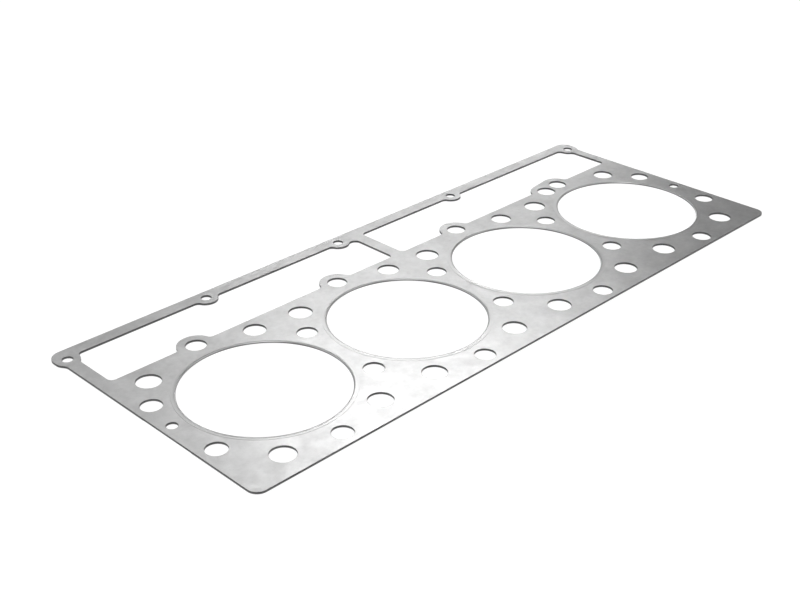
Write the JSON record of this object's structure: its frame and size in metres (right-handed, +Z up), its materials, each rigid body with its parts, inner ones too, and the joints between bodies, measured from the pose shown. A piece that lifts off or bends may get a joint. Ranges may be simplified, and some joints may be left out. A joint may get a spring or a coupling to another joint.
{
  "type": "cylinder head gasket",
  "caption": "Flat steel cylinder head gasket for an in-line engine, with a folded fire ring round each bore, bolt holes, fluid passages and an open rail along one side.",
  "frame": {"origin": "middle of the gasket's length, on the line through the bore centres, in the plane of the block's deck that the fire rings lie on; the centre of all the head bolt patterns", "axes": "+X along the row of bores, +Y from the bores towards the open rail, +Z up from the block to the head"},
  "size_m": [0.6042, 0.2376, 0.0021],
  "materials": {
    "plate_steel": "satin",
    "ring_steel": "satin"
  },
  "bodies": {
    "root": {"plate": "plate_steel", "fire_ring_1": "ring_steel", "fire_ring_2": "ring_steel", "fire_ring_3": "ring_steel", "fire_ring_4": "ring_steel"}
  },
  "joints": []
}
